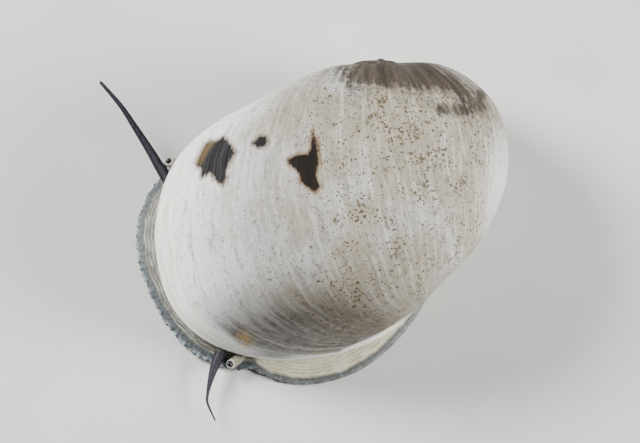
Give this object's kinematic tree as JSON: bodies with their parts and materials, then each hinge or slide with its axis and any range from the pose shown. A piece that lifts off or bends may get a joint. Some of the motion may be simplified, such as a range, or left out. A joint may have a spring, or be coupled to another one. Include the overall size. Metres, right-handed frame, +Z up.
{
  "type": "polished nerite snail, live animal crawling",
  "caption": "Nerite snail crawling: smooth porcelain-white domed shell, broad foot, snout pad, two dark feelers and stalked eyes.",
  "frame": {"origin": "on the flat sole of the foot, under the middle of the animal", "axes": "+Z up; -Y the way the snail heads, so +Y runs from the head to the tail; +X to the snail's left"},
  "size_m": [0.028, 0.0297, 0.0163],
  "materials": {
    "shell": "polished porcelain-like shell with fine growth lines, dark patches and brown specks",
    "flesh": "moist soft skin, cream with thin dark lines and a pale bluish margin",
    "feeler": "moist dark purple-grey skin",
    "eye": "wet black eye",
    "operculum": "smooth limy door, grey-brown"
  },
  "bodies": {
    "root": {"shell": "shell", "mantle": "flesh", "foot": "flesh", "head": "flesh", "eye_stalk_left": "flesh", "eye_stalk_right": "flesh", "operculum": "operculum", "tentacle_left_base": "feeler", "tentacle_left_middle": "feeler", "tentacle_left_tip": "feeler", "tentacle_right_base": "feeler", "tentacle_right_middle": "feeler", "tentacle_right_tip": "feeler", "eye_left": "eye", "eye_right": "eye"}
  },
  "joints": []
}
